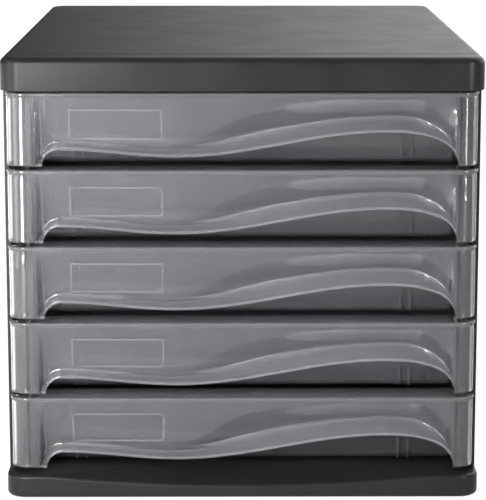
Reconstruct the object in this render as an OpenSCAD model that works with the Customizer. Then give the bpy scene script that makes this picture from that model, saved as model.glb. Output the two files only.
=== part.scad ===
// Desktop drawer tower: a graphite plastic housing with five clear sliding drawers.
// Origin: centre of the footprint on the table. +X right, +Y back, +Z up. The drawers open towards -Y.

/* [Housing] */
// Width over the top cover and the base
housing_w = 265; // [250:1:300]
// Depth over the top cover and the base
housing_d = 350; // [330:1:400]
// Height of the top cover's front face
cover_h = 18.3; // [15:0.1:26]
// Height of the base with its feet, up to the deck
base_h = 13.7; // [11.5:0.1:18]
// Corner radius of the cover and the base, seen from above
corner_r = 11; // [9:0.5:16]
// Rounding of the cover's top edges
cover_edge_r = 4; // [2:0.5:6]
// Rounding of the base's edges
base_edge_r = 2.5; // [1:0.5:3]
// Wall thickness of the cover's and the base's skirts
skirt_t = 2.2; // [1.8:0.1:2.8]
// Thickness of the cover's and the base's flat decks
deck_t = 2.5; // [2:0.1:3.5]
// Thickness of the side and back panels
panel_t = 2.5; // [2:0.1:3]
// How far the panels stand in from the cover's sides and back
panel_inset = 0.7; // [0.4:0.1:2]
// Width of the back panel's lap lips behind the side panels' rear edges
lap_w = 12; // [8:1:20]
// Thickness of those lap lips
lap_t = 2; // [1.5:0.1:2.5]
// How far the side panels' front edges lie behind the cover's face
panel_setback = 18; // [17:0.5:24]
// Distance of the groove in the cover's top from its face
groove_y = 20; // [12:1:40]
// Width of the groove in the cover's top
groove_w = 1.4; // [0.8:0.1:3]
// Depth of the groove in the cover's top
groove_h = 0.7; // [0.4:0.1:1.2]
// Greatest dip of the scoop in the base's front edge
scoop_h = 5.6; // [3:0.1:7]
// Width of that scoop
scoop_w = 218; // [150:1:240]
// Thickness of the ribs under the cover and the base
rib_t = 1.6; // [1.2:0.1:2.5]
// Depth of the ribs under the cover and the base
rib_h = 4.5; // [3:0.5:6]

/* [Drawers] */
// Height of a drawer, from the tray's bottom to the rim
drawer_h = 42.2; // [38:0.2:60]
// Gap between one drawer and the next
stack_gap = 0.8; // [0.6:0.1:2]
// Gap between the top drawer's rim and the cover
cover_gap = 1.6; // [1.5:0.1:5]
// How far the drawer fronts stand behind the cover's face
front_setback = 8; // [7:0.5:10]
// How far a drawer front's ends stand in from the panels' outer faces
front_side_inset = 1.6; // [0.3:0.1:3]
// Corner radius of the drawer fronts, seen from above
front_corner_r = 9.5; // [6:0.5:9.5]
// Wall thickness of the drawer fronts
front_t = 2; // [1.6:0.1:2.6]
// How far the front's lower edge stands above the tray's bottom
front_lift = 1.2; // [0.8:0.1:3]
// Height of the bead along the rim
bead_h = 2; // [1:0.1:3]
// How far the bead stands proud
bead_out = 0.5; // [0.2:0.1:1]
// Distance from the drawer front's face to the tray's front wall
channel_d = 22; // [21:0.5:30]
// Space between the tray's top edge and the side panel
tray_side_gap = 7; // [6:0.1:9]
// Space between the tray and the back panel
tray_back_gap = 9; // [7.5:0.5:30]
// How much the tray narrows on each side down to its floor
tray_draft = 2.4; // [1:0.1:4]
// Wall thickness of the tray
tray_t = 1.8; // [1.4:0.1:2.4]
// Thickness of the tray's floor
floor_t = 1.8; // [1.4:0.1:3]
// Corner radius of the tray, seen from above
tray_r = 6; // [4:0.5:10]
// Thickness of the ledge and the flanges round the tray's top
flange_t = 1.8; // [1.4:0.1:2.4]
// How far the ledge lies below the top of the rim
ledge_drop = 0.6; // [0.4:0.1:1.5]
// How far a drawer slides out before its ears meet the stops
travel = 220; // [150:1:240]
// Distance from the middle to the inner of the two ribs on each end of the tray's front wall
wall_rib_x = 89; // [60:1:98]
// Distance between those two ribs
wall_rib_step = 5.6; // [3:0.1:10]
// Thickness of those ribs
wall_rib_t = 1.2; // [0.8:0.1:2]

/* [Wave lip] */
// Width of the left pillar, up to the start of the wave
left_pillar_w = 20; // [18:0.1:26]
// Width of the right pillar, from the end of the wave
right_pillar_w = 11.6; // [11:0.1:18]
// Width of the rounded rise beside the left pillar
left_rise_w = 9.4; // [5:0.1:14]
// Width of the rounded fall beside the right pillar
right_fall_w = 38.4; // [25:0.1:50]
// Height of the wave's left crest over the pillars' lower ends
left_crest_h = 9; // [7:0.1:12]
// Height of the wave's trough
trough_h = 5; // [4:0.1:7]
// Place of the trough across the front, from the middle
trough_x = -36.7; // [-50:0.1:-20]
// Height of the wave's right crest
right_crest_h = 18.6; // [14:0.1:19]
// Depth of the panel's recess at the lip's root, on the left
left_recess = 6.5; // [4:0.1:9]
// Depth of the recess on the right, where the fingers grip
right_recess = 17.5; // [12:0.1:18]
// Thickness of the lip
lip_t = 2; // [1.5:0.1:2.5]
// Rise of the lip from its edge to its root, per millimetre of depth
lip_slope = 0.25; // [0.1:0.01:0.3]
// Width over which the panel steps back beside the left pillar
left_step_w = 3.4; // [2:0.1:6]
// Width over which the panel steps back beside the right pillar
right_step_w = 27; // [15:0.5:30]

/* [Label frame] */
// Width of the raised label frame
label_w = 52; // [30:0.5:53]
// Height of the raised label frame
label_h = 17.6; // [12:0.1:19]
// Distance of its left side from the end of the left pillar
label_side = 14.4; // [11:0.1:16]
// Distance of its top from the rim
label_drop = 9.2; // [5:0.1:10]
// Width of the frame's bars
label_bar = 1.2; // [0.8:0.1:2]
// How far the bars stand proud
label_out = 0.6; // [0.4:0.1:1]

/* [Runners] */
// Width of the overlap between a drawer's flange and its runner
runner_grip = 3.3; // [2.5:0.1:3.6]
// Thickness of a runner at its inner edge
runner_t = 2; // [1.5:0.1:3]
// Running clearance under a flange
slide_gap = 0.2; // [0.1:0.05:0.4]
// Length of the stop blocks and the ears
stop_len = 5; // [3:0.5:8]
// Width of the ears on the flanges
ear_w = 1.8; // [1.4:0.1:2.2]

/* [Feet and screws] */
// Radius of a rubber foot
foot_r = 7; // [5:0.5:8]
// Distance of the feet's centres from the sides
foot_side = 30; // [22:1:40]
// Distance of the feet's centres from the front and the back
foot_end = 38; // [30:1:60]
// How far the feet stand below the skirt
foot_out = 1; // [0.6:0.1:2]
// How deep the feet are seated
foot_seat = 1.6; // [1:0.1:2.5]
// Radius of the screws' shanks
screw_r = 1.5; // [1.2:0.05:1.6]
// Length of the screws under their heads
screw_len = 11; // [8:0.5:14]
// Radius of the screws' heads
screw_head_r = 2.7; // [2.4:0.1:3]
// Height of the screws' heads
screw_head_h = 1.9; // [1.4:0.1:2.4]

/* [Hidden] */
$fn = 64;
eps = 0.01;
drawer_count = 5;

// Clearances between seated pieces
seat_gap = 0.2;
close_gap = 0.4;

// Housing: key planes
half_w = housing_w / 2;
half_d = housing_d / 2;
face_y = -half_d;
pitch = drawer_h + stack_gap;
cover_z = base_h + stack_gap + drawer_count * pitch - stack_gap + cover_gap;
housing_h = cover_z + cover_h;
panel_x = half_w - panel_inset;
panel_in_x = panel_x - panel_t;
panel_back_y = half_d - panel_inset;
panel_front_y = face_y + panel_setback;
back_corner_r = corner_r - panel_inset;
joint_y = panel_back_y - back_corner_r - 4;
tongue_x = half_w - skirt_t - seat_gap;
tongue_t = 1.8;
tongue_top_z = housing_h - deck_t - seat_gap;

// Drawers: key planes, measured from the tray's bottom
front_y = face_y + front_setback;
front_half_w = panel_x - front_side_inset;
front_r = min(front_corner_r, panel_setback - front_setback - close_gap);
ledge_z = drawer_h - ledge_drop;
flange_z = ledge_z - flange_t;
tray_half_w = panel_in_x - tray_side_gap;
tray_front_y = front_y + channel_d;
tray_back_y = panel_back_y - panel_t - tray_back_gap;
tray_len = tray_back_y - tray_front_y;
tray_mid_y = (tray_back_y + tray_front_y) / 2;
runner_x = tray_half_w + 0.6;
flange_x = runner_x + runner_grip;
stop_x = flange_x + 0.5;
stop_y = panel_front_y + 7;
ear_x = min(flange_x + ear_w, tongue_x - tongue_t - seat_gap);
ear_y = stop_y + stop_len + travel + 0.3;
runner_top = flange_z - slide_gap;
runner_end_y = joint_y - lap_w / 2 - 3;

// Wave: places across the front
wave_start = -front_half_w + left_pillar_w;
wave_end = front_half_w - right_pillar_w;
crest_1_x = wave_start + left_rise_w;
crest_2_x = wave_end - right_fall_w;
step_1_x = wave_start - 4.4;
step_2_x = wave_end - 1.4;
fall_power = 2.4;
grip_x = 20;
label_x = wave_start + label_side;
label_z = drawer_h - label_drop;

// Feet and screws
screw_head_z = base_h - deck_t - screw_head_h;
boss_r = 2.9;
boss_h = screw_len - deck_t + 1.5;
side_boss_x = panel_in_x - boss_r + 0.5;
side_boss_ys = [for (i = [-1 : 1]) i * (half_d - 60)];
back_boss_x = half_w - 40;
back_boss_y = panel_back_y - panel_t - boss_r + 0.5;
clip_ys = [for (i = [-1 : 1]) i * (half_d - 70) + 4];
clip_w = 14;
clip_h = 4;
clip_z = cover_z + 5;

function drawer_z(n) = base_h + stack_gap + (drawer_count - n) * pitch;

// A smooth step from 0 to 1 between two places
function ease(a, b, x) = let (t = min(1, max(0, (x - a) / (b - a)))) t * t * (3 - 2 * t);

// Height of the wave's edge above the pillars' lower ends: an elliptic rise, two half cosines and
// a rounded fall
function wave_h(x) =
    x <= wave_start || x >= wave_end ? 0 :
    x < crest_1_x ? left_crest_h * sqrt(1 - pow((crest_1_x - x) / left_rise_w, 2)) :
    x < trough_x ? (left_crest_h + trough_h) / 2
        + (left_crest_h - trough_h) / 2 * cos(180 * (x - crest_1_x) / (trough_x - crest_1_x)) :
    x < crest_2_x ? (right_crest_h + trough_h) / 2
        - (right_crest_h - trough_h) / 2 * cos(180 * (x - trough_x) / (crest_2_x - trough_x)) :
    right_crest_h * pow(1 - pow((x - crest_2_x) / right_fall_w, fall_power), 1 / fall_power);

// Depth of the panel's recess at the lip's root
function recess(x) =
    x <= step_1_x || x >= step_2_x ? 0 :
    ease(step_1_x, step_1_x + left_step_w, x)
        * (left_recess + (right_recess - left_recess) * ease(trough_x - 5, grip_x, x))
        * (x < step_2_x - right_step_w ? 1
            : pow(1 - pow((x - step_2_x + right_step_w) / right_step_w, 2), 0.7));

// How strongly the panel sweeps back towards its root: 1 is a flat slope
function sweep_power(x) = 1 + 0.5 * ease(trough_x, grip_x, x);

bead_z = drawer_h - bead_h;
function edge_z(x) = front_lift + wave_h(x);
function root_z(x) = edge_z(x) + lip_t + lip_slope * recess(x);
function wall_depth(x) = front_t * sqrt(1 + pow(recess(x) / (bead_z - root_z(x)), 2));
function inner_root_z(x) = edge_z(x) + lip_slope * (recess(x) + wall_depth(x));

// Depth of the panel's outer face at a place and height
function panel_depth(x, z) =
    recess(x) * pow(max(0, bead_z - z) / (bead_z - root_z(x)), sweep_power(x));

// One cross-section of the drawer front as [depth, height]: down the outer face, round the lip's
// edge and up the inner face
panel_steps = 4;
function front_section(x) =
    let (r = recess(x), e = edge_z(x), k = 0.5 * min(1, r / 3),
         w = wall_depth(x), top = bead_z - 0.6, root = root_z(x), inner = inner_root_z(x),
         outer_v = function(s) r * pow(s, sweep_power(x)))
    concat(
        [[-bead_out, drawer_h], [-bead_out, bead_z]],
        [for (i = [0 : panel_steps]) let (s = i / panel_steps) [outer_v(s), top + s * (root - top)]],
        [[k, e + 0.85 * lip_t + lip_slope * k], [0, e + 0.6 * lip_t],
         [0.08 * lip_t, e + 0.25 * lip_t], [0.25 * lip_t, e]],
        [for (i = [panel_steps : -1 : 0])
            let (s = i / panel_steps) [outer_v(s) + w, top + s * (inner - top)]],
        [[front_t, drawer_h]]);

// The stations along the front, seen from above: [place across, base point, inward direction]
arc_steps = 6;
function arc_station(side, a) = [
    side * front_half_w,
    [side * (front_half_w - front_r + front_r * cos(a)), front_r - front_r * sin(a)],
    [-side * cos(a), sin(a)]];
front_xs = concat(
    [for (i = [0 : 3]) step_1_x + i * left_step_w / 3],
    [for (a = [0 : 18 : 72]) crest_1_x - left_rise_w * cos(a)],
    [for (i = [0 : 4]) crest_1_x + i * (trough_x - crest_1_x) / 5],
    [for (i = [0 : 8]) trough_x + i * (crest_2_x - trough_x) / 9],
    [for (a = [0 : 11.25 : 67.5]) crest_2_x + right_fall_w * sin(a)],
    [step_2_x - 0.25 * (step_2_x - crest_2_x - right_fall_w * sin(67.5)), step_2_x,
     wave_end - 0.5, wave_end]);
front_stations = concat(
    [for (i = [0 : arc_steps]) arc_station(-1, i * 90 / arc_steps)],
    [for (x = front_xs) [x, [x, 0], [0, 1]]],
    [for (i = [arc_steps : -1 : 0]) arc_station(1, i * 90 / arc_steps)]);

// A solid skin from equal rings of points, each of an odd number, closed at both ends by strips
module skin(rings) {
    m = len(rings[0]);
    n = len(rings);
    points = [for (ring = rings) each ring];
    sides = [for (i = [0 : n - 2]) for (j = [0 : m - 1])
        let (a = i * m + j, b = i * m + (j + 1) % m, c = a + m, d = b + m)
        each [[a, c, b], [b, c, d]]];
    strip = [for (i = [0 : (m - 3) / 2]) let (j = m - 1 - i)
        each i + 2 < j ? [[i, i + 1, j], [i + 1, j - 1, j]] : [[i, i + 1, j]]];
    last = (n - 1) * m;
    ends = [for (t = strip) each [[t[0], t[1], t[2]], [last + t[2], last + t[1], last + t[0]]]];
    polyhedron(points = points, faces = concat(sides, ends), convexity = 8);
}

// The drawer front: end pillars, a panel that slopes back, and the wave-shaped finger lip
module drawer_front() {
    skin([for (s = front_stations)
        [for (p = front_section(s[0])) [s[1][0] + p[0] * s[2][0], front_y + s[1][1] + p[0] * s[2][1], p[1]]]]);
}

// The raised label frame, a flat ring laid on the sloping panel
module label_frame() {
    mid_x = label_x + label_w / 2;
    mid_z = label_z - label_h / 2;
    fall = panel_depth(mid_x, label_z - label_h) - panel_depth(mid_x, label_z);
    translate([mid_x, front_y + panel_depth(mid_x, mid_z) - label_out, mid_z])
        rotate([90 - atan(fall / label_h), 0, 0])
            translate([0, 0, -label_out - front_t / 2])
                linear_extrude(label_out + front_t / 2)
                    difference() {
                        square([label_w, label_h], center = true);
                        square([label_w - 2 * label_bar, label_h - 2 * label_bar], center = true);
                    }
}

module rounded_plate(w, d, r) {
    hull_w = w / 2 - r;
    hull_d = d / 2 - r;
    union() {
        square([w, 2 * hull_d], center = true);
        square([2 * hull_w, d], center = true);
        for (sx = [-1, 1], sy = [-1, 1])
            translate([sx * hull_w, sy * hull_d])
                circle(r);
    }
}

// A drafted block, narrower at its foot: the outside or the inside of a tray
module drafted_block(half_width, length, radius, foot, height) {
    draft = tray_draft * height / ledge_z;
    w = 2 * half_width;
    translate([0, tray_mid_y, foot])
        linear_extrude(height, scale = [w / (w - 2 * draft), length / (length - 2 * draft)], slices = 1)
            rounded_plate(w - 2 * draft, length - 2 * draft, radius, $fn = 24);
}

// The ledge behind the rim, with the flanges that slide on the runners and their stop ears
module drawer_ledge() {
    ledge_w = front_half_w - front_t / 2;
    ledge_r = front_r - front_t / 2;
    translate([0, 0, flange_z])
        linear_extrude(flange_t) {
            translate([0, front_y + front_t / 2 + ledge_r])
                intersection() {
                    rounded_plate(2 * ledge_w, 2 * ledge_r + eps, ledge_r);
                    translate([-ledge_w, -ledge_r - eps])
                        square([2 * ledge_w, ledge_r + eps]);
                }
            translate([-flange_x, front_y + front_t])
                square([2 * flange_x, tray_back_y + 3 - front_y - front_t]);
            translate([-ear_x, ear_y])
                square([2 * ear_x, stop_len]);
        }
}

// Webs and ribs between the drawer front and the tray
module drawer_webs() {
    web_x = tray_half_w - tray_draft;
    for (s = [-1, 1]) {
        translate([s * web_x - tray_t / 2, front_y + front_t / 2, front_lift + 2])
            cube([tray_t, channel_d + tray_draft, flange_z - front_lift - 2 + eps]);
        for (i = [0, 1])
            translate([s * (wall_rib_x + i * wall_rib_step) - wall_rib_t / 2, tray_front_y - wall_rib_t, front_lift])
                cube([wall_rib_t, wall_rib_t + tray_draft + tray_t / 4, flange_z - front_lift + eps]);
    }
}

module drawer(n) {
    color([0.75, 0.78, 0.8, 0.45])
        translate([0, 0, drawer_z(n)])
            union() {
                drawer_front();
                label_frame();
                difference() {
                    union() {
                        drafted_block(tray_half_w, tray_len, tray_r, 0, ledge_z - flange_t / 2);
                        drawer_ledge();
                        drawer_webs();
                    }
                    drafted_block(tray_half_w - tray_t, tray_len - 2 * tray_t, tray_r - tray_t,
                                  floor_t, ledge_z - floor_t + 1);
                }
            }
}

// A block with rounded corners seen from above and rounded top edges, from z1 up to z2
module rounded_block(w, d, r, z1, z2, top_r, foot_r) {
    h = z2 - z1;
    intersection() {
        translate([0, 0, z1])
            linear_extrude(h)
                rounded_plate(w, d, r);
        translate([0, d / 2, 0])
            rotate([90, 0, 0])
                linear_extrude(d)
                    edge_profile(w, z1, z2, top_r, foot_r);
        translate([-w / 2, 0, 0])
            rotate([90, 0, 90])
                linear_extrude(w)
                    edge_profile(d, z1, z2, top_r, foot_r);
    }
}

// The upright outline of such a block: a rectangle with rounded upper and lower corners
module edge_profile(w, z1, z2, top_r, foot_r) {
    translate([-w / 2, z1 + foot_r])
        square([w, z2 - z1 - top_r - foot_r]);
    translate([-w / 2 + top_r, z1 + foot_r])
        square([w - 2 * top_r, z2 - z1 - foot_r]);
    translate([-w / 2 + foot_r, z1])
        square([w - 2 * foot_r, z2 - z1 - top_r]);
    for (s = [-1, 1]) {
        translate([s * (w / 2 - top_r), z2 - top_r])
            circle(top_r);
        if (foot_r > 0)
            translate([s * (w / 2 - foot_r), z1 + foot_r])
                circle(foot_r);
    }
}

// The hollow under a cover or a base
module hollow(z1, z2) {
    translate([0, 0, z1])
        linear_extrude(z2 - z1)
            rounded_plate(housing_w - 2 * skirt_t, housing_d - 2 * skirt_t, corner_r - skirt_t);
}

// Crossed stiffening ribs on the inside of a deck
module deck_ribs(z1, z2, reach_w, reach_d) {
    for (x = [-1 : 1])
        translate([x * reach_w / 3 - rib_t / 2, -reach_d / 2, z1])
            cube([rib_t, reach_d, z2 - z1]);
    for (y = [-1.5 : 1 : 1.5])
        translate([-reach_w / 2, y * reach_d / 4.2 - rib_t / 2, z1])
            cube([reach_w, rib_t, z2 - z1]);
}

module top_cover() {
    rib_w = 2 * (tongue_x - tongue_t - 2);
    rib_d = housing_d - 2 * skirt_t - 2 * tongue_t - 10;
    color([0.2, 0.2, 0.21]) {
        difference() {
            rounded_block(housing_w, housing_d, corner_r, cover_z, housing_h, cover_edge_r, 0);
            hollow(cover_z - 1, housing_h - deck_t);
            translate([-half_w - 1, face_y + groove_y, housing_h - groove_h])
                cube([housing_w + 2, groove_w, groove_h + 1]);
        }
        deck_ribs(housing_h - deck_t - rib_h, housing_h - deck_t + eps, rib_w, rib_d);
        // Wedges that snap into the side panels' windows
        for (s = [-1, 1], y = clip_ys)
            translate([s * (half_w - skirt_t / 2), y - clip_w / 2, clip_z])
                mirror([s > 0 ? 1 : 0, 0, 0])
                    rotate([90, 0, 180])
                        linear_extrude(clip_w, center = false)
                            polygon([[0, 0.4], [0, clip_h - 0.4], [-skirt_t / 2 - 1.6, clip_h - 0.4],
                                     [-skirt_t / 2 - 1.6, clip_h - 1.2], [-skirt_t / 2, 0.4]]);
    }
}

// The wide shallow scoop in the base's front: a large cylinder tilted about its lowest point in the
// front edge, so that the scoop runs out towards the back
module scoop(drop) {
    scoop_r = (pow(scoop_w / 2, 2) + pow(scoop_h, 2)) / (2 * scoop_h);
    run = channel_d + front_setback - 2;
    translate([0, face_y, base_h - scoop_h - drop])
        rotate([atan(scoop_h / run), 0, 0])
            translate([0, -20, scoop_r])
                rotate([-90, 0, 0])
                    cylinder(h = 20 + run * 1.3, r = scoop_r, $fn = 360);
}

module foot_places() {
    for (sx = [-1, 1], sy = [-1, 1])
        translate([sx * (half_w - foot_side), sy * (half_d - foot_end), 0])
            children();
}

module screw_places() {
    for (s = [-1, 1]) {
        for (y = side_boss_ys)
            translate([s * side_boss_x, y, 0])
                children();
        translate([s * back_boss_x, back_boss_y, 0])
            children();
    }
}

module base() {
    color([0.2, 0.2, 0.21])
        difference() {
            union() {
                difference() {
                    rounded_block(housing_w, housing_d, corner_r, foot_out, base_h, base_edge_r, base_edge_r);
                    difference() {
                        hollow(0, base_h - deck_t);
                        scoop(deck_t);
                    }
                }
                deck_ribs(base_h - deck_t - rib_h, base_h - deck_t + eps,
                          housing_w - 2 * skirt_t, housing_d - 2 * skirt_t);
                foot_places()
                    translate([0, 0, foot_out])
                        cylinder(h = base_h - deck_t - foot_out + eps, r = foot_r + 1.8);
            }
            scoop(0);
            foot_places()
                translate([0, 0, -1])
                    cylinder(h = 1 + foot_out + foot_seat, r = foot_r + 0.15);
            screw_places()
                translate([0, 0, -1])
                    cylinder(h = base_h + 2, r = screw_r + 0.2);
            screw_places()
                translate([0, 0, -1])
                    cylinder(h = base_h - deck_t + 1, r = screw_head_r + 0.5);
        }
}

// One runner ledge, its gussets and its stop block, on the inside of the right panel
module runner(z) {
    root_x = panel_in_x + panel_t / 2;
    translate([0, runner_end_y, z])
        rotate([90, 0, 0])
            linear_extrude(runner_end_y - panel_front_y - 1)
                polygon([[runner_x, runner_top], [root_x, runner_top],
                         [root_x, runner_top - runner_t - 2], [runner_x, runner_top - runner_t]]);
    for (i = [0 : 3])
        translate([0, panel_front_y + 30 + i * (runner_end_y - panel_front_y - 50) / 3, z])
            rotate([90, 0, 0])
                linear_extrude(1.6)
                    polygon([[runner_x + 1.5, runner_top - 1], [root_x, runner_top - 1],
                             [root_x, runner_top - 12], [panel_in_x - 0.4, runner_top - 12]]);
    translate([stop_x, stop_y, z + runner_top - eps])
        cube([root_x - stop_x, stop_len, flange_t + slide_gap + 0.8]);
}

// The right side panel; the left one is its mirror image
module side_panel() {
    color([0.2, 0.2, 0.21])
        difference() {
            union() {
                translate([panel_in_x, panel_front_y, base_h])
                    cube([panel_t, joint_y - panel_front_y, cover_z - base_h]);
                // Tongue inside the cover's skirt, clear of the back panel's lap lip
                translate([tongue_x - tongue_t, panel_front_y + 4, cover_z - 3])
                    cube([tongue_t, joint_y - lap_w / 2 - seat_gap - panel_front_y - 4,
                          tongue_top_z - cover_z + 3]);
                for (n = [1 : drawer_count])
                    runner(drawer_z(n));
                for (y = side_boss_ys)
                    translate([side_boss_x, y, base_h])
                        cylinder(h = boss_h, r = boss_r);
            }
            for (y = clip_ys)
                translate([tongue_x - tongue_t - 1, y - clip_w / 2 - seat_gap, clip_z])
                    cube([tongue_t + 1 + seat_gap / 2, clip_w + 2 * seat_gap, clip_h]);
            for (y = side_boss_ys)
                translate([side_boss_x, y, base_h - 1])
                    cylinder(h = boss_h, r = screw_r);
        }
}

// The back panel, a shallow tray on end: rounded rear corners, lap lips inside the side panels
module back_panel() {
    lap_x = panel_in_x - seat_gap;
    color([0.2, 0.2, 0.21])
        difference() {
            union() {
                translate([0, 0, base_h])
                    linear_extrude(cover_z - base_h)
                        back_outline();
                for (s = [-1, 1]) {
                    translate([s * (lap_x - lap_t / 2) - lap_t / 2, joint_y - lap_w / 2, base_h + 1])
                        cube([lap_t, lap_w, cover_z - base_h - 2]);
                    translate([s * (back_boss_x), back_boss_y, base_h])
                        cylinder(h = boss_h, r = boss_r);
                }
                // Tongue inside the cover's skirt
                translate([-half_w + corner_r + 4, half_d - skirt_t - seat_gap - tongue_t, cover_z - 3])
                    cube([housing_w - 2 * corner_r - 8, tongue_t, tongue_top_z - cover_z + 3]);
                for (x = [-1.5 : 1 : 1.5])
                    translate([x * housing_w / 4.4 - rib_t / 2, panel_back_y - panel_t - rib_h, base_h + 2])
                        cube([rib_t, rib_h + eps, cover_z - base_h - 4]);
            }
            for (s = [-1, 1])
                translate([s * back_boss_x, back_boss_y, base_h - 1])
                    cylinder(h = boss_h, r = screw_r);
        }
}

module back_outline() {
    intersection() {
        difference() {
            rounded_plate(2 * panel_x, 2 * panel_back_y, back_corner_r);
            rounded_plate(2 * panel_in_x, 2 * (panel_back_y - panel_t), back_corner_r - panel_t);
        }
        translate([-half_w, joint_y + seat_gap])
            square([housing_w, housing_d]);
    }
}

module foot(sx, sy) {
    color([0.1, 0.1, 0.1])
        translate([sx * (half_w - foot_side), sy * (half_d - foot_end), 0]) {
            cylinder(h = 0.5, r1 = foot_r - 0.5, r2 = foot_r);
            translate([0, 0, 0.5])
                cylinder(h = foot_out + foot_seat - 0.5, r = foot_r);
        }
}

module base_screws() {
    color([0.6, 0.6, 0.62])
        screw_places()
            translate([0, 0, screw_head_z]) {
                cylinder(h = screw_head_h, r = screw_head_r);
                translate([0, 0, screw_head_h - eps])
                    cylinder(h = screw_len + eps, r = screw_r - 0.05);
            }
}

top_cover();
base();
mirror([1, 0, 0]) side_panel();  // left_side_panel
side_panel();  // right_side_panel
back_panel();
drawer(1);  // drawer_1
drawer(2);  // drawer_2
drawer(3);  // drawer_3
drawer(4);  // drawer_4
drawer(5);  // drawer_5
foot(-1, -1);  // front_left_foot
foot(1, -1);  // front_right_foot
foot(-1, 1);  // back_left_foot
foot(1, 1);  // back_right_foot
base_screws();
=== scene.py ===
import math
import bmesh
import bpy
import numpy as np
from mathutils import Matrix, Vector


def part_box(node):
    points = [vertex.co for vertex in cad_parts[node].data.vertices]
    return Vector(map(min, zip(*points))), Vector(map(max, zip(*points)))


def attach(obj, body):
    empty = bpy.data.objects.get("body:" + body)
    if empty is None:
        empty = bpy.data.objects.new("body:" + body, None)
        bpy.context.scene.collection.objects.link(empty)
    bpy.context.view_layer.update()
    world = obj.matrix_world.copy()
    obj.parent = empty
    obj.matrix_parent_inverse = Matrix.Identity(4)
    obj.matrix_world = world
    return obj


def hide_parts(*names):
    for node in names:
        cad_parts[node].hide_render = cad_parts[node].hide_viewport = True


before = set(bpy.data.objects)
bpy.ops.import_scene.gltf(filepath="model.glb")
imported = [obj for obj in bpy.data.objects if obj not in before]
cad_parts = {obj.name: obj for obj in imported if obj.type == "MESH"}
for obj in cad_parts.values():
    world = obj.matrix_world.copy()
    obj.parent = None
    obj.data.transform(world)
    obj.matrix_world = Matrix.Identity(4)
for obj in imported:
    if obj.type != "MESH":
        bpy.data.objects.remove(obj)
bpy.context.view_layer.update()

# ---- Base ----
# A graphite ABS moulding: a shallow shell, open below, with a rounded rim, crossed ribs, four foot seats and eight
# counterbored screw holes. Its front edge dips in a wide scoop, so that fingers reach the bottom drawer's lip.
base_low, base_high = [np.array(v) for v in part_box("base")]
half_w, half_d = base_high[0], base_high[1]
face_y = -half_d
plan_r = 0.011
skirt_t, deck_t = 0.0022, 0.0025
base_edge = 0.0016
skirt_foot_r, skirt_foot_h = 0.0022, 0.0024
scoop_depth, scoop_w, scoop_run, scoop_soft = 0.0056, 0.218, 0.028, 0.0004
rib_t, rib_h = 0.0016, 0.0045


def plan_rings(half_w, half_d, r, insets, side_ys=(0.0,), front_xs=(), arc=12):
    """A rounded rectangle seen from above, drawn once for each inset. Its left half runs round the front corner,
    along the side through the given places and round the back corner, the right half is its mirror image, and the
    given places along the front close it. A corner's radius is the outline's less the inset."""
    inset = np.asarray(insets)[:, None]
    rho = np.maximum(r - inset, 0.0004)
    t = np.radians(np.linspace(0, 90, arc))[None]
    cx, cy = -(half_w - inset - rho), half_d - inset - rho
    front = np.stack([cx - rho * np.sin(t), -cy - rho * np.cos(t)], -1)
    back = np.stack([cx - rho * np.cos(t), cy + rho * np.sin(t)], -1)
    side = np.stack(np.broadcast_arrays(-(half_w - inset), np.asarray(side_ys)[None]), -1)
    left = np.concatenate([front, side, back], 1)
    row = np.stack(np.broadcast_arrays(np.asarray(front_xs)[None, ::-1], -(half_d - inset)), -1)
    return np.concatenate([left, left[:, ::-1] * [-1, 1], row], 1)


def ringed_mesh(name, points, ladder=False):
    """A closed mesh from rings of points of equal number: strips of quads from ring to ring, and the first and the
    last ring closed by one flat face, or by a ladder of quads from each left point to its mirror image."""
    n, m = points.shape[:2]
    i, j = np.meshgrid(np.arange(n - 1), np.arange(m), indexing="ij")
    k = (j + 1) % m
    faces = np.stack([i * m + j, i * m + k, (i + 1) * m + k, (i + 1) * m + j], -1).reshape(-1, 4).tolist()
    one = np.arange(m)
    if ladder:
        a = np.arange(m // 2 - 1)
        rung = np.stack([a, a + 1, m - 2 - a, m - 1 - a], -1)
        faces += rung[:, ::-1].tolist() + (rung + (n - 1) * m).tolist()
    else:
        faces += [one[::-1].tolist(), (one + (n - 1) * m).tolist()]
    mesh = bpy.data.meshes.new(name)
    mesh.from_pydata(points.reshape(-1, 3).tolist(), [], faces)
    return outward(mesh)


def outward(mesh):
    """Turns a closed mesh's faces outwards."""
    work = bmesh.new()
    work.from_mesh(mesh)
    bmesh.ops.recalc_face_normals(work, faces=work.faces)
    work.to_mesh(mesh)
    work.free()
    return mesh


def bars(name, corners):
    """Plain bars from their lowest and highest corners, for ribs and webs."""
    low, high = np.array(corners).reshape(-1, 2, 3).transpose(1, 0, 2)
    pick = np.array([[0, 0, 0], [1, 0, 0], [1, 1, 0], [0, 1, 0], [0, 0, 1], [1, 0, 1], [1, 1, 1], [0, 1, 1]])
    points = low[:, None] + (high - low)[:, None] * pick[None]
    sides = np.array([[0, 3, 2, 1], [4, 5, 6, 7], [0, 1, 5, 4], [1, 2, 6, 5], [2, 3, 7, 6], [3, 0, 4, 7]])
    faces = (sides[None] + 8 * np.arange(len(low))[:, None, None]).reshape(-1, 4)
    mesh = bpy.data.meshes.new(name)
    mesh.from_pydata(points.reshape(-1, 3).tolist(), [], faces.tolist())
    return mesh


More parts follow.
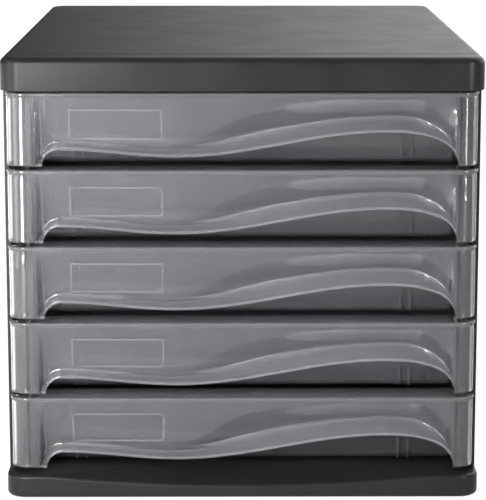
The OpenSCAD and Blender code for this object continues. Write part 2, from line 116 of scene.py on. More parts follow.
def pins(name, places, radius, z_low, z_high, steps=40):
    """Upright round pins at the given places."""
    t = np.linspace(0, 2 * np.pi, steps, endpoint=False)
    places = np.array(places)
    ring = np.stack([np.cos(t), np.sin(t)], -1) * radius
    ones = np.ones((len(places), steps, 1))
    both = np.concatenate([
        np.concatenate([places[:, None] + ring, z * ones], -1) for z in (z_low, z_high)], 1)
    i = np.arange(steps)
    k = (i + 1) % steps
    sides = np.stack([i, k, k + steps, i + steps], -1)
    faces = []
    for first in 2 * steps * np.arange(len(places)):
        faces += (sides + first).tolist() + [(i[::-1] + first).tolist(), (i + steps + first).tolist()]
    mesh = bpy.data.meshes.new(name)
    mesh.from_pydata(both.reshape(-1, 3).tolist(), [], faces)
    return mesh


def combined(name, mesh, steps):
    """A moulding from a closed mesh and others that are added to it (UNION) or cut from it (DIFFERENCE)."""
    body = bpy.data.objects.new(name, mesh)
    bpy.context.scene.collection.objects.link(body)
    tools = []
    for kind, other in steps:
        tool = bpy.data.objects.new(other.name, other)
        bpy.context.scene.collection.objects.link(tool)
        tools.append(tool)
        cut = body.modifiers.new(other.name, "BOOLEAN")
        cut.operation, cut.object, cut.solver = kind, tool, "EXACT"
        cut.use_self = True
    graph = bpy.context.evaluated_depsgraph_get()
    graph.update()
    done = bpy.data.meshes.new_from_object(body.evaluated_get(graph), depsgraph=graph)
    for thing in tools + [body]:
        bpy.data.objects.remove(thing)
    done.name = name
    return done


def smooth(mesh, degrees=32):
    """Smooth shading, with edges sharper than the given angle kept."""
    mesh.shade_smooth()
    mesh.set_sharp_from_angle(angle=math.radians(degrees))
    return mesh


def scoop(x, y):
    """How far the base's top lies below the deck: at the front edge, the scoop's depth less a flat parabola
    across; towards the back it runs out along a slope, and the end is turned softly by taking half of the value
    and of the root of its square plus a small square."""
    v = scoop_depth * (1 - (2 * x / scoop_w) ** 2) - (y - face_y) * scoop_depth / scoop_run
    return np.maximum(0.5 * (v + np.sqrt(v * v + scoop_soft * scoop_soft)) - 0.25 * scoop_soft, 0)


def base_shell():
    """Rings from the deck's underside down the skirt's inside, round its foot, up the outside, round the top edge
    and in over the deck. The scoop lowers what lies above the foot, more the higher it is."""
    z1, z2 = base_low[2], base_high[2]
    t = np.radians(np.linspace(0, 90, 8))
    e = base_edge
    insets = np.concatenate([
        [0.031, 0.029, 0.026, 0.022, 0.018, 0.013, 0.008, 0.0045, skirt_t + 0.0008, skirt_t, skirt_t],
        skirt_foot_r * (1 - np.sin(t)), [0.0, 0.0], e * (1 - np.cos(t)),
        [0.0035, 0.0055, 0.008, 0.011, 0.014, 0.017, 0.020, 0.023, 0.025, 0.0265, 0.028, 0.0295, 0.031]])
    n_in = 11
    top_in = z2 - deck_t
    heights = np.concatenate([
        [top_in] * 9, [top_in - 0.0008, z1 + skirt_foot_h],
        z1 + skirt_foot_r * (1 - np.cos(t)), [z1 + 0.0035, z2 - e - 0.001], z2 - e + e * np.sin(t), [z2] * 13])
    front_xs = np.linspace(-0.115, 0.115, 70)
    plan = plan_rings(half_w, half_d, plan_r, insets, [-0.15, -0.12, 0, 0.12], front_xs)
    z = np.broadcast_to(heights[:, None], plan.shape[:2]).copy()
    inside = np.arange(len(z))[:, None] < n_in
    top = np.where(inside, top_in, z2 - e)
    share = np.clip((z - z1 - skirt_foot_h) / (top - z1 - skirt_foot_h), 0, 1)
    y_from_face = np.where(inside, plan[..., 1], np.maximum(plan[..., 1], face_y))
    z -= share * scoop(plan[..., 0], y_from_face)
    return ringed_mesh("base_shell", np.concatenate([plan, z[..., None]], -1))


foot_in_x, foot_in_y = 0.030, 0.038
foot_places = [(sx * (half_w - foot_in_x), sy * (half_d - foot_in_y)) for sx in (-1, 1) for sy in (-1, 1)]
boss_r, seat_r, seat_depth = 0.0088, 0.00715, 0.0026
# The outermost screws touch their node's box with their heads
screw_head_r, head_room_r, pilot_r = 0.0027, 0.0032, 0.0017
screws_low, screws_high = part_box("base_screws")
screw_x, screw_y = -screws_low[0] - screw_head_r, half_d - 0.060
back_screw = (half_w - 0.040, screws_high[1] - screw_head_r)
screw_places = [(sx * screw_x, sy * screw_y) for sx in (-1, 1) for sy in (-1, 0, 1)] + [
    (sx * back_screw[0], back_screw[1]) for sx in (-1, 1)]
deck_z = base_high[2]
in_w, in_d = half_w - skirt_t, half_d - skirt_t
# Ribs sink a little into the deck and the skirt, and crossing ones differ in height, so that no two faces of a
# Boolean lie in one plane
sink_up, sink_out, apart = 0.0004, 0.0003, 0.0001
rib_low, rib_top = deck_z - deck_t - rib_h, deck_z - deck_t + sink_up
rib_start = face_y + scoop_run + 0.002
rib_xs, rib_ys = (-1, 0, 1), (-1.5, -0.5, 0.5, 1.5)
x_parts, y_parts = 3, 4.2
ribs = [((x * 2 * in_w / x_parts - rib_t / 2, rib_start, rib_low),
         (x * 2 * in_w / x_parts + rib_t / 2, in_d + sink_out, rib_top)) for x in rib_xs]
ribs += [((-in_w - sink_out, y * 2 * in_d / y_parts - rib_t / 2, rib_low + apart),
          (in_w + sink_out, y * 2 * in_d / y_parts + rib_t / 2, rib_top + apart)) for y in rib_ys]
base_mesh = combined("base_moulding", base_shell(), [
    ("UNION", bars("base_ribs", ribs)),
    ("UNION", pins("foot_bosses", foot_places, boss_r, 0.001, rib_top - apart)),
    ("DIFFERENCE", pins("foot_seats", foot_places, seat_r, -0.001, seat_depth)),
    ("DIFFERENCE", pins("screw_heads", screw_places, head_room_r, -0.001, deck_z - deck_t - sink_up, 32)),
    ("DIFFERENCE", pins("screw_holes", screw_places, pilot_r, -0.002, deck_z + 0.001, 32)),
])
smooth(base_mesh)


def add_node(tree, kind, **inputs):
    """A shader node with its unlinked sockets set, by name with spaces as underscores."""
    made = tree.nodes.new("ShaderNode" + kind)
    for key, value in inputs.items():
        made.inputs[key.replace("_", " ")].default_value = value
    return made


def spread(tree, source, low, high):
    """A noise's middle range turned into values from low to high."""
    out = add_node(tree, "MapRange", From_Min=0.3, From_Max=0.7, To_Min=low, To_Max=high)
    tree.links.new(source, out.inputs["Value"])
    return out.outputs["Result"]


def moulded(name, colour, light, roughness, grain, grain_size=1500):
    """A moulded surface: cloudy colour between the two given, roughness that drifts a little, and a fine grain in
    relief. Noise is read in the object's own metres."""
    made = bpy.data.materials.new(name)
    made.use_nodes = True
    tree = made.node_tree
    shader = tree.nodes["Principled BSDF"]
    place = add_node(tree, "TexCoord").outputs["Object"]
    cloud = add_node(tree, "TexNoise", Scale=38, Detail=4, Roughness=0.55)
    fine = add_node(tree, "TexNoise", Scale=grain_size, Detail=2, Roughness=0.6)
    tree.links.new(place, cloud.inputs["Vector"])
    tree.links.new(place, fine.inputs["Vector"])
    tint = add_node(tree, "Mix")
    tint.data_type = "RGBA"
    tint.inputs[6].default_value = (*colour, 1)
    tint.inputs[7].default_value = (*light, 1)
    tree.links.new(spread(tree, cloud.outputs["Fac"], 0, 1), tint.inputs["Factor"])
    tree.links.new(tint.outputs[2], shader.inputs["Base Color"])
    drift = spread(tree, cloud.outputs["Fac"], roughness - 0.03, roughness + 0.03)
    tree.links.new(drift, shader.inputs["Roughness"])
    bump = add_node(tree, "Bump", Strength=grain, Distance=0.0002)
    tree.links.new(fine.outputs["Fac"], bump.inputs["Height"])
    tree.links.new(bump.outputs["Normal"], shader.inputs["Normal"])
    return made


graphite = moulded("graphite_plastic", (0.012, 0.012, 0.0135), (0.016, 0.016, 0.0175), 0.34, 0.05)
graphite.node_tree.nodes["Principled BSDF"].inputs["Specular IOR Level"].default_value = 0.3


def placed(name, mesh, material, body, slot, *nodes):
    """A finished piece: its object at the origin, on its body, for the CAD nodes that it replaces."""
    piece = bpy.data.objects.new(name, mesh)
    bpy.context.scene.collection.objects.link(piece)
    mesh.materials.clear()
    mesh.materials.append(material)
    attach(piece, body)
    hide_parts(*nodes)
    return piece


placed("base_moulding", base_mesh, graphite, "housing", "graphite_plastic", "base")


def coated(material, *nodes):
    """Gives CAD nodes their finish."""
    for name in nodes:
        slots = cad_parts[name].data.materials
        slots.clear()
        slots.append(material)


# ---- Feet and screws ----
# Four soft rubber pads pressed into the base's seats, and eight zinc plated self-tapping screws that hold the side
# and back panels to the base from below.
rubber = moulded("foot_rubber", (0.016, 0.016, 0.016), (0.024, 0.024, 0.024), 0.78, 0.3, 900)
zinc = moulded("screw_zinc", (0.52, 0.53, 0.55), (0.60, 0.60, 0.60), 0.34, 0.08, 2500)
zinc.node_tree.nodes["Principled BSDF"].inputs["Metallic"].default_value = 1.0
coated(rubber, "front_left_foot", "front_right_foot", "back_left_foot", "back_right_foot")
coated(zinc, "base_screws")

# ---- Side and back panels ----
# Three graphite ABS mouldings: the sides carry the runners and their stops on the inside, and the back closes the
# housing with rounded corners and lap lips. They stand in the cover's skirt and on the base.
coated(graphite, "left_side_panel", "right_side_panel", "back_panel")

# ---- Drawers ----
# Five clear, slightly smoky styrene mouldings, each one piece: a tray hung from a ledge, whose flanges slide on
# the runners, and a front whose panel slopes back into a wave-shaped finger lip with a fine matt finish.
drawer_h = 0.0422
front_half, front_r = 0.1302, 0.0095
front_t, bead_h, bead_out = 0.002, 0.002, 0.0005
lip_t, lip_slope, front_lift, nose_r = 0.002, 0.25, 0.0012, 0.001
wave_start, wave_end = -0.1102, 0.1186
crest_1, trough, crest_2 = -0.1008, -0.0367, 0.0802
crest_1_h, trough_h, crest_2_h = 0.009, 0.005, 0.0186
step_1, step_2 = -0.1146, 0.1172
step_1_w, step_2_w = 0.0034, 0.027
recess_left, recess_more, fall_power = 0.0065, 0.011, 2.4
front_y = face_y + 0.008
bead_z = drawer_h - bead_h


def ease(a, b, x):
    """0 up to a, 1 from b on, and between them three times the square less twice the cube of the share."""
    t = np.clip((x - a) / (b - a), 0, 1)
    return t * t * (3 - 2 * t)


def wave(x):
    """Height of the lip's edge over the pillars' lower ends: a quarter ellipse up to the left crest, a half
    cosine down to the trough, another up to the right crest, and a quarter of a rounded square down again."""
    rise = crest_1_h * np.sqrt(np.clip(1 - ((crest_1 - x) / (crest_1 - wave_start)) ** 2, 0, 1))
    mid_1, amp_1 = (crest_1_h + trough_h) / 2, (crest_1_h - trough_h) / 2
    mid_2, amp_2 = (crest_2_h + trough_h) / 2, (crest_2_h - trough_h) / 2
    down = mid_1 + amp_1 * np.cos(np.pi * (x - crest_1) / (trough - crest_1))
    up = mid_2 - amp_2 * np.cos(np.pi * (x - trough) / (crest_2 - trough))
    share = np.clip((x - crest_2) / (wave_end - crest_2), 0, 1)
    fall = crest_2_h * np.clip(1 - share**fall_power, 0, 1) ** (1 / fall_power)
    inside = np.select([x < crest_1, x < trough, x < crest_2], [rise, down, up], fall)
    return np.where((x <= wave_start) | (x >= wave_end), 0.0, inside)


def recess(x):
    """Depth of the panel at the lip's root: a step in beside the left pillar, deepening to the right where the
    fingers grip, and a rounded return to the right pillar."""
    back = 1 - np.clip((x - step_2 + step_2_w) / step_2_w, 0, 1) ** 2
    r = ease(step_1, step_1 + step_1_w, x) * (
        recess_left + recess_more * ease(trough - 0.005, 0.02, x)) * back**0.7
    return np.where((x <= step_1) | (x >= step_2), 0.0, r)


def lip_root(x):
    """Height of the line where the lip meets the panel: above the wave's edge by the lip's thickness and its slope
    over the recess."""
    return front_lift + wave(x) + lip_t + lip_slope * recess(x)


def sweep(x):
    """Power of the panel's fall: 1 is flat, and to the right it hollows."""
    return 1 + 0.5 * ease(trough, 0.02, x)


def front_skin():
    """The front as a ring of points carried along its plan line. The plan is a corner arc, a straight and a
    corner arc. The ring runs over the rim, down the panel, whose depth is the recess times a power of the
    share of the way down, out along the lip, round its edge, and back up the inner face."""
    a = np.radians(np.linspace(0, 90, 13))
    xs = np.concatenate([
        np.linspace(-front_half + front_r, step_1, 4)[1:],
        np.linspace(step_1, step_1 + step_1_w, 12)[1:],
        wave_start + np.array([-0.0005, 0.0]),
        crest_1 - (crest_1 - wave_start) * np.cos(np.radians(np.linspace(0, 90, 19)))[1:],
        np.linspace(crest_1, trough, 34)[1:],
        np.linspace(trough, crest_2, 62)[1:],
        crest_2 + (wave_end - crest_2) * np.sin(np.radians(np.linspace(0, 90, 40)))[1:],
        wave_end + np.array([0.0004, 0.0018]),
    ])
    xs = np.unique(np.round(xs, 7))
    n_arc = len(a)
    across = np.concatenate([np.full(n_arc, -front_half), xs, np.full(n_arc, front_half)])
    base = np.zeros((len(across), 2))
    inward = np.tile([0.0, 1.0], (len(across), 1))
    base[:n_arc] = np.c_[-(front_half - front_r + front_r * np.cos(a)), front_r - front_r * np.sin(a)]
    inward[:n_arc] = np.c_[np.cos(a), np.sin(a)]
    base[n_arc:-n_arc, 0] = xs
    base[-n_arc:] = base[:n_arc][::-1] * [-1, 1]
    inward[-n_arc:] = inward[:n_arc][::-1] * [-1, 1]

    r = recess(across)[:, None]
    e = (front_lift + wave(across))[:, None]
    top = bead_z - 0.0006
    root = lip_root(across)[:, None]
    w = front_t * np.sqrt(1 + (r / (bead_z - root)) ** 2)
    inner = e + lip_slope * (r + w)
    power = sweep(across)[:, None]
    depth, height = [], []

    def add(d, h):
        depth.append(d + 0 * r)
        height.append(h + 0 * r)

    def arc(cd, cz, radius, a0, a1, n):
        t = np.radians(np.linspace(a0, a1, n))[None]
        add(cd + radius * np.cos(t), cz + radius * np.sin(t))

    arc(front_t - 0.0005, drawer_h - 0.0005, 0.0005, 0, 90, 4)
    arc(-bead_out + 0.0007, drawer_h - 0.0007, 0.0007, 90, 180, 6)
    t = np.linspace(0, 1, 6)[None]
    add(-bead_out + bead_out * t * t * (3 - 2 * t), bead_z + 0.0005 - 0.0011 * t)
    s = np.linspace(0, 1, 27)[None] ** 0.9
    add(r * s[:, 1:] ** power, top + s[:, 1:] * (root - top))
    turn = np.radians(180 - 90 * np.clip(r / lip_t, 0, 1))
    nose_d, nose_z = nose_r + nose_r * np.cos(turn), e + nose_r + nose_r * np.sin(turn)
    t = np.linspace(0, 1, 11)[None, 1:-1]
    add(r + (nose_d - r) * t, root + (nose_z - root) * t)
    phi = turn + (np.radians(270) - turn) * np.linspace(0, 1, 11)[None]
    add(nose_r + nose_r * np.cos(phi), e + nose_r + nose_r * np.sin(phi))
    t = np.linspace(0, 1, 9)[None, 1:]
    add(nose_r + (r + w - nose_r) * t, e + (inner - e) * t)
    s = s[:, ::-1][:, 1:]
    add(r * s**power + w, top + s * (inner - top))
    d, h = np.hstack(depth), np.hstack(height)
    # Two creases, at the panel's root and at the inner root, are rounded by averaging neighbours. The numbers are
    # the places of a crease's points in the ring.
    panel_root, inner_root = (37, 45), (61, 71)
    for first, last in (panel_root, inner_root):
        for _ in range(10):
            for v in (d, h):
                v[:, first:last] = 0.5 * v[:, first:last] + 0.25 * (
                    v[:, first - 1 : last - 1] + v[:, first + 1 : last + 1])
    points = np.empty(d.shape + (3,))
    points[..., :2] = base[:, None] + d[..., None] * inward[:, None] + [0, front_y]
    points[..., 2] = h
    return points


tray_half, tray_t, tray_draft, tray_r = 0.1223, 0.0018, 0.0024, 0.006
tray_front = front_y + 0.022
tray_back = half_d - 0.0007 - 0.0025 - 0.009
tray_mid, tray_half_len = (tray_front + tray_back) / 2, (tray_back - tray_front) / 2
ledge_top, flange_t, floor_t = drawer_h - 0.0006, 0.0018, 0.0018
flange_half, ear_half, ear_len = 0.1262, 0.1280, 0.005
ear_y = face_y + 0.018 + 0.007 + ear_len + 0.220 + 0.0003


def tray_block(name, inset, foot, top, fillet, flare):
    """A drafted block with rounded corners: the tray's outside, or its inside with a flared mouth. The inset grows
    towards the foot by the draft, and a quarter circle turns the side into the floor."""
    t = np.radians(np.linspace(0, 90, 7))
    z = np.concatenate([[foot], foot + fillet * (1 - np.cos(t))])
    extra = np.concatenate([[fillet + 0.004], fillet * (1 - np.sin(t))])
    if flare:
        u = np.radians(np.linspace(0, 90, 6))
        z = np.concatenate([z, ledge_top - flare * (1 - np.sin(u)), [top]])
        extra = np.concatenate([extra, -flare * (1 - np.cos(u)), [-flare]])
    else:
        z = np.concatenate([z, [top]])
        extra = np.concatenate([extra, [0]])
    insets = inset + extra + tray_draft * np.clip(1 - z / ledge_top, 0, 1)
    plan = plan_rings(tray_half, tray_half_len, tray_r, insets, (), (), 10)
    plan[..., 1] += tray_mid
    return ringed_mesh(name, np.concatenate([plan, np.broadcast_to(z[:, None, None], plan.shape[:2] + (1,))], -1))


def ledge_plate():
    """The ledge behind the rim with its flanges and stop ears, one flat plate with rounded front corners."""
    t = np.radians(np.linspace(0, 90, 12))
    r, w = front_r - 0.001, front_half - 0.001
    y0 = front_y + 0.001
    arc = np.stack([-(w - r) - r * np.sin(t), y0 + r - r * np.cos(t)], -1)
    back = tray_back + 0.003
    left = np.concatenate([arc, [[-flange_half, y0 + r], [-flange_half, ear_y], [-ear_half, ear_y],
                                 [-ear_half, ear_y + ear_len], [-flange_half, ear_y + ear_len],
                                 [-flange_half, back - 0.001], [-flange_half + 0.001, back]]])
    outline = np.concatenate([left, left[::-1] * [-1, 1]])
    rings = np.stack([np.c_[outline, np.full(len(outline), z)] for z in (ledge_top - flange_t, ledge_top)])
    return ringed_mesh("ledge_plate", rings)


label_in, label_drop, label_w, label_h = 0.0144, 0.0092, 0.052, 0.0176


def label_ring():
    """The raised label frame: a bar with a gently crowned top, carried round a rectangle with rounded corners and
    laid on the panel. A point's depth is the panel's depth at its place, less the height of the cross-section."""
    x0, x1 = wave_start + label_in, wave_start + label_in + label_w
    z1 = drawer_h - label_drop
    z0 = z1 - label_h
    bar, proud, inside, crown = 0.0012, 0.0006, 0.0008, 0.00014
    t = np.linspace(-1, 1, 11)
    across = np.concatenate([[0], bar / 2 + 0.00052 * t, [bar]])
    out = np.concatenate([[-inside], proud - crown * t * t, [-inside]])
    stations = np.linspace(0, 1, 26)[1:-1]
    mid = np.array([(x0 + x1) / 2, (z0 + z1) / 2])
    half = np.array([(x1 - x0) / 2, (z1 - z0) / 2])
    plan = plan_rings(half[0], half[1], 0.0009, across, (), (), 6)
    # Extra places along the long bars, where the panel's depth changes
    k = plan.shape[1] // 2
    low = plan[:, -1:] + (plan[:, :1] - plan[:, -1:]) * stations[None, :, None]
    high = plan[:, k - 1 : k] + (plan[:, k : k + 1] - plan[:, k - 1 : k]) * stations[None, :, None]
    plan = np.concatenate([plan[:, :k], high, plan[:, k:], low], 1) + mid
    x, z = plan[..., 0], plan[..., 1]
    fall = recess(x) * (np.clip(bead_z - z, 0, 1) / (bead_z - lip_root(x))) ** sweep(x)
    points = np.stack([x, front_y + fall - out[:, None], z], -1)
    n, m = points.shape[:2]
    i, j = np.meshgrid(np.arange(n), np.arange(m), indexing="ij")
    i2, k = (i + 1) % n, (j + 1) % m
    faces = np.stack([i * m + j, i * m + k, i2 * m + k, i2 * m + j], -1).reshape(-1, 4)
    mesh = bpy.data.meshes.new("label_ring")
    mesh.from_pydata(points.reshape(-1, 3).tolist(), [], faces.tolist())
    return outward(mesh)


web_x = tray_half - tray_draft
webs = [((s * web_x - tray_t / 2, front_y + 0.001, front_lift + 0.002),
         (s * web_x + tray_t / 2, tray_front + tray_draft, ledge_top - 0.001)) for s in (-1, 1)]
webs += [((x - 0.0006, tray_front - 0.0012, front_lift), (x + 0.0006, tray_front + 0.0028, ledge_top - 0.0012))
         for x in (-0.0946, -0.089, 0.089, 0.0946)]
tray_mesh = combined("tray", tray_block("tray_outside", 0.0, 0.0, ledge_top - 0.0009, 0.0025, 0), [
    ("UNION", ledge_plate()),
    ("UNION", bars("webs", webs)),
    ("DIFFERENCE", tray_block("tray_inside", tray_t, floor_t, ledge_top + 0.001, 0.0018, 0.0005)),
])
drawer_mesh = combined("drawer_moulding", ringed_mesh("drawer_front", front_skin()), [
    ("UNION", label_ring()),
    ("UNION", tray_mesh),
])
smooth(drawer_mesh)


lip_frost, sweep_frost, label_frost, rim_frost = 0.4, 0.16, 0.5, 0.4


def mark_frost(mesh):
    """How matt each point is, from 0 to 1: most on the label frame's bars, nearly as much on the lip, the rim and
    the ledge, and above the lip's root a smaller share that grows with the slope of the panel."""
    at = np.empty(3 * len(mesh.vertices), np.float32)
    mesh.vertices.foreach_get("co", at)
    x, y, z = at.reshape(-1, 3).T
    depth = y - front_y
    on_lip = (x > step_1 + 0.002) & (x < step_2) & (depth < recess(x) + 0.0012)
    tall = bead_z - lip_root(x)
    share = np.clip((bead_z - z) / tall, 0, 1)
    slope = recess(x) * sweep(x) * share ** (sweep(x) - 1) / tall
    above = sweep_frost * ease(0.25, 1.3, slope) * ease(0, 0.15, share)
    frost = np.where(on_lip, above + (lip_frost - above) * ease(0.0005, -0.0003, z - lip_root(x)), 0)
    fall = recess(x) * share ** sweep(x)
    bar = (depth < fall - 0.0003) & (z > 0.012) & (z < bead_z - 0.002) & (np.abs(x) < 0.1)
    rim = (z > bead_z - 0.0004) & (depth < front_t)
    ledge = (z > ledge_top - 0.0003) & (depth > front_t) & (y < tray_front - 0.001)
    for where, value in ((bar, label_frost), (rim, rim_frost), (ledge, rim_frost)):
        frost = np.where(where, value, frost)
    mesh.attributes.new("frost", "FLOAT", "POINT").data.foreach_set("value", frost.astype(np.float32))


mark_frost(drawer_mesh)


def between(tree, share, low, high):
    """A value from low to high by a share; each is a number or a socket."""
    made = add_node(tree, "Mix")
    for socket, value in ((made.inputs[0], share), (made.inputs[2], low), (made.inputs[3], high)):
        if isinstance(value, (int, float)):
            socket.default_value = value
        else:
            tree.links.new(value, socket)
    return made.outputs[0]


def clear_styrene():
    """Clear plastic with a little grey and faint flow marks in its roughness and clarity, under a half-strength
    coat whose wider gloss stands for surface haze. With frost it gets rougher and less clear."""
    made = bpy.data.materials.new("clear_drawer_plastic")
    made.use_nodes = True
    tree = made.node_tree
    shader = tree.nodes["Principled BSDF"]
    shader.inputs["IOR"].default_value = 1.5
    shader.inputs["Coat Weight"].default_value = 0.5
    shader.inputs["Coat Roughness"].default_value = 0.24
    matt_roughness, matt_clarity = 0.35, 0.74
    place = add_node(tree, "TexCoord").outputs["Object"]
    flow = add_node(tree, "TexNoise", Scale=55, Detail=3, Roughness=0.5)
    fine = add_node(tree, "TexNoise", Scale=1400, Detail=2, Roughness=0.6)
    tree.links.new(place, flow.inputs["Vector"])
    tree.links.new(place, fine.inputs["Vector"])
    frost = add_node(tree, "Attribute")
    frost.attribute_name = "frost"
    gloss = spread(tree, flow.outputs["Fac"], 0.008, 0.02)
    clarity = spread(tree, flow.outputs["Fac"], 0.945, 0.965)
    share = frost.outputs["Fac"]
    tree.links.new(between(tree, share, gloss, matt_roughness), shader.inputs["Roughness"])
    tree.links.new(between(tree, share, clarity, matt_clarity), shader.inputs["Transmission Weight"])
    tint = add_node(tree, "Mix")
    tint.data_type = "RGBA"
    tint.inputs[6].default_value = (0.742, 0.748, 0.79, 1)
    tint.inputs[7].default_value = (0.782, 0.788, 0.829, 1)
    tree.links.new(spread(tree, flow.outputs["Fac"], 0, 1), tint.inputs[0])
    tree.links.new(tint.outputs[2], shader.inputs["Base Color"])
    bump = add_node(tree, "Bump", Strength=0.06, Distance=0.0001)
    height = add_node(tree, "Math")
    height.operation = "MULTIPLY"
    tree.links.new(fine.outputs["Fac"], height.inputs[0])
    tree.links.new(frost.outputs["Fac"], height.inputs[1])
    tree.links.new(height.outputs[0], bump.inputs["Height"])
    tree.links.new(bump.outputs["Normal"], shader.inputs["Normal"])
    return made


styrene = clear_styrene()
for number in range(1, 6):
    name = f"drawer_{number}"
    copy = drawer_mesh.copy()
    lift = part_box(name)[0][2]
    at = np.empty(3 * len(copy.vertices), np.float32)
    copy.vertices.foreach_get("co", at)
    at[2::3] += lift
    copy.vertices.foreach_set("co", at)
    copy.update()
    placed(f"{name}_moulding", copy, styrene, name, "clear_drawer_plastic", name)

# ---- Top cover ----
# A graphite ABS moulding that snaps over the panels: a shell with a rounded rim, a fine groove across its top
# behind the front edge, and ribs under the deck.
cover_low, cover_high = [np.array(v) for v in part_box("top_cover")]
cover_edge = 0.004
groove_y, groove_w, groove_h = face_y + 0.0207, 0.0014, 0.0007


def cover_shell():
    """Rings from the deck's underside down the skirt, round its foot, up the outside, over the rounded rim and in
    over the top. The groove lowers what lies above its floor, by a soft-edged step of the distance from its
    line."""
    z1, z2 = cover_low[2], cover_high[2]
    t = np.radians(np.linspace(0, 90, 5))
    u = np.radians(np.linspace(0, 90, 19))
    foot = 0.0004
    insets = np.concatenate([
        [0.012, skirt_t + 0.001, skirt_t, skirt_t], foot * (1 - np.sin(t)), [0.0],
        cover_edge * (1 - np.cos(u)), [0.006, 0.009, 0.012]])
    heights = np.concatenate([
        [z2 - deck_t, z2 - deck_t, z2 - deck_t - 0.001, z1 + foot], z1 + foot * (1 - np.cos(t)),
        [z2 - cover_edge - 0.0005], z2 - cover_edge * (1 - np.sin(u)), [z2] * 3])
    step = np.linspace(-0.0012, 0.0012, 25)
    side_ys = np.concatenate([[-0.160], groove_y + step, [-0.145, -0.10, 0.0, 0.10, 0.155]])
    plan = plan_rings(half_w, half_d, plan_r, insets, side_ys, (), 16)
    z = np.broadcast_to(heights[:, None], plan.shape[:2])
    groove = groove_h * ease(groove_w / 2 + 0.00025, groove_w / 2 - 0.00015, np.abs(plan[..., 1] - groove_y))
    z = np.minimum(z, z2 - groove)
    return ringed_mesh("cover_shell", np.concatenate([plan, z[..., None]], -1), ladder=True)


cover_top = cover_high[2] - deck_t
# The cover's ribs end short of the side panels' tongues and of the front and back
tongue_gap, tongue_t, end_room = 0.0002, 0.0018, 0.002
reach_w = half_w - skirt_t - tongue_gap - tongue_t - end_room
reach_d = half_d - skirt_t - tongue_t - 0.005
cover_ribs = [((x * 2 * reach_w / x_parts - rib_t / 2, -reach_d, cover_top - rib_h),
               (x * 2 * reach_w / x_parts + rib_t / 2, reach_d, cover_top + sink_up)) for x in rib_xs]
cover_ribs += [((-reach_w, y * 2 * reach_d / y_parts - rib_t / 2, cover_top - rib_h + apart),
                (reach_w, y * 2 * reach_d / y_parts + rib_t / 2, cover_top + sink_up + apart)) for y in rib_ys]
cover_mesh = combined("cover_moulding", cover_shell(), [("UNION", bars("cover_ribs", cover_ribs))])
smooth(cover_mesh)
placed("cover_moulding", cover_mesh, graphite, "housing", "graphite_plastic", "top_cover")

# ---- Studio ----
# A pale floor and white surroundings, a tall softbox in front at the left with a weaker one beside it, a narrow
# one in front at the right, and the camera. Reflections see the floor and the surroundings at other levels than
# the camera does, because the plastic mirrors a studio that isn't in the picture; the floor's glow in
# reflections is painted light, graded brighter towards the left.
bpy.ops.mesh.primitive_plane_add(size=12)
floor = bpy.context.object
floor.name = "floor"
pale = bpy.data.materials.new("pale_floor")
pale.use_nodes = True


def most(tree, *values):
    """The greatest of some values."""
    value = values[0]
    for other in values[1:]:
        made = add_node(tree, "Math")
        made.operation = "MAXIMUM"
        tree.links.new(value, made.inputs[0])
        tree.links.new(other, made.inputs[1])
        value = made.outputs[0]
    return value


def ramp(tree, value, start, end, low, high):
    """A smooth step from low to high as a value goes from start to end."""
    made = add_node(tree, "MapRange", From_Min=start, From_Max=end, To_Min=low, To_Max=high)
    made.interpolation_type = "SMOOTHSTEP"
    tree.links.new(value, made.inputs["Value"])
    return made.outputs["Result"]


tree = pale.node_tree
shader = tree.nodes["Principled BSDF"]
shader.inputs["Base Color"].default_value = (0.9, 0.9, 0.9, 1)
shader.inputs["Roughness"].default_value = 0.9
path = add_node(tree, "LightPath")
camera_ray, glossy_ray = path.outputs["Is Camera Ray"], path.outputs["Is Glossy Ray"]
seen = most(tree, camera_ray, path.outputs["Is Transmission Ray"], glossy_ray)
glow = add_node(tree, "Emission")
across = add_node(tree, "SeparateXYZ")
tree.links.new(add_node(tree, "TexCoord").outputs["Object"], across.inputs[0])
# The floor's glow in reflections is painted light: it falls from the left to the right, and far left it is
# brightest, a painted pool of light from the left that the plastic mirrors
painted_left_glow, seen_glow, soft_glow = 2.2, 1.36, 0.5
soft_share, seen_share = 0.5, 0.65
level = ramp(tree, across.outputs["X"], start=-0.24, end=0.24, low=1.1, high=0.45)
inward = ramp(tree, across.outputs["X"], start=-0.3, end=-0.13, low=0.0, high=1.0)
# Painted light: far left, reflections see the floor glowing at painted_left_glow, elsewhere at the graded level
level = between(tree, glossy_ray, seen_glow, between(tree, inward, painted_left_glow, level))
tree.links.new(between(tree, seen, soft_glow, level), glow.inputs["Strength"])
mix = add_node(tree, "MixShader")
tree.links.new(between(tree, seen, soft_share, seen_share), mix.inputs[0])
tree.links.new(shader.outputs[0], mix.inputs[1])
tree.links.new(glow.outputs[0], mix.inputs[2])
tree.links.new(mix.outputs[0], tree.nodes["Material Output"].inputs["Surface"])
floor.data.materials.append(pale)

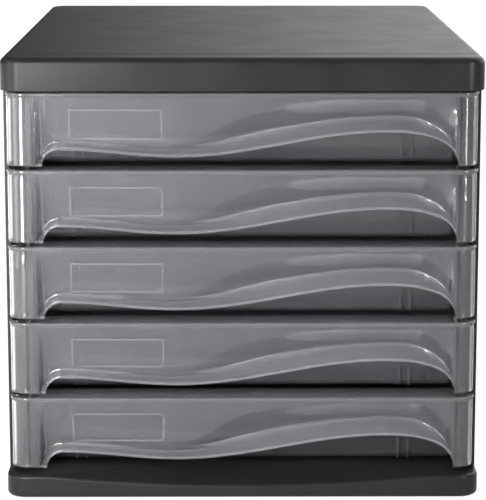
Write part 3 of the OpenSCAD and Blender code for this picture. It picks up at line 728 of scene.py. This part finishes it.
world = bpy.data.worlds.new("studio")
bpy.context.scene.world = world
world.use_nodes = True
tree = world.node_tree
path = add_node(tree, "LightPath")
turn = add_node(tree, "SeparateXYZ")
tree.links.new(add_node(tree, "TexCoord").outputs["Generated"], turn.inputs[0])
behind = ramp(tree, turn.outputs["X"], start=-0.16, end=0.25, low=0.05, high=1.45)
front = ramp(tree, turn.outputs["X"], start=-0.7, end=0.5, low=0.3, high=0.1)
backward = ramp(tree, turn.outputs["Y"], start=-0.1, end=0.3, low=0.0, high=1.0)
mirrored = between(tree, backward, front, behind)
seen = most(tree, path.outputs["Is Camera Ray"], path.outputs["Is Transmission Ray"])
plain = between(tree, seen, 0.40, 1.0)
backdrop = tree.nodes["Background"]
tree.links.new(between(tree, path.outputs["Is Glossy Ray"], plain, mirrored), backdrop.inputs["Strength"])
backdrop.inputs["Color"].default_value = (1, 1, 1, 1)


def softbox(name, place, target, w, power, h=0.8):
    """A tall rectangular lamp turned to its target, unseen by the camera."""
    lamp = bpy.data.lights.new(name, "AREA")
    lamp.shape, lamp.size, lamp.size_y, lamp.energy = "RECTANGLE", w, h, power
    stand = bpy.data.objects.new(name, lamp)
    bpy.context.scene.collection.objects.link(stand)
    stand.location = place
    stand.rotation_euler = (Vector(target) - Vector(place)).to_track_quat("-Z", "Y").to_euler()
    stand.visible_camera = False


softbox("left_softbox", place=(-0.303, -0.766, 0.2), target=(-0.05, -0.17, 0.12), w=0.14, power=7.6)
softbox("side_softbox", place=(-0.62, -0.45, 0.25), target=(-0.1, -0.17, 0.12), w=0.25, power=2)
softbox("right_softbox", place=(0.654, -0.898, 0.3), target=(0.1, -0.17, 0.12), w=0.08, power=4.5)

# The focal length in pixels and the turns were fitted to the outlines of the cover, the base and the drawers
focal_px, frame_px, sensor = 2103.2, 500, 36
tilt_down, turn_right = 9.948, 0.317
camera = bpy.data.cameras.new("camera")
camera.lens = focal_px * sensor / frame_px
camera.sensor_width = sensor
camera.shift_y = -0.1
camera.clip_start = 0.05
tripod = bpy.data.objects.new("camera", camera)
bpy.context.scene.collection.objects.link(tripod)
tripod.location = (-0.00605, face_y - 1.1334, 0.3694)
tripod.rotation_euler = (math.radians(90 - tilt_down), 0, math.radians(-turn_right))
bpy.context.scene.camera = tripod
bpy.context.scene.view_settings.view_transform = "Standard"
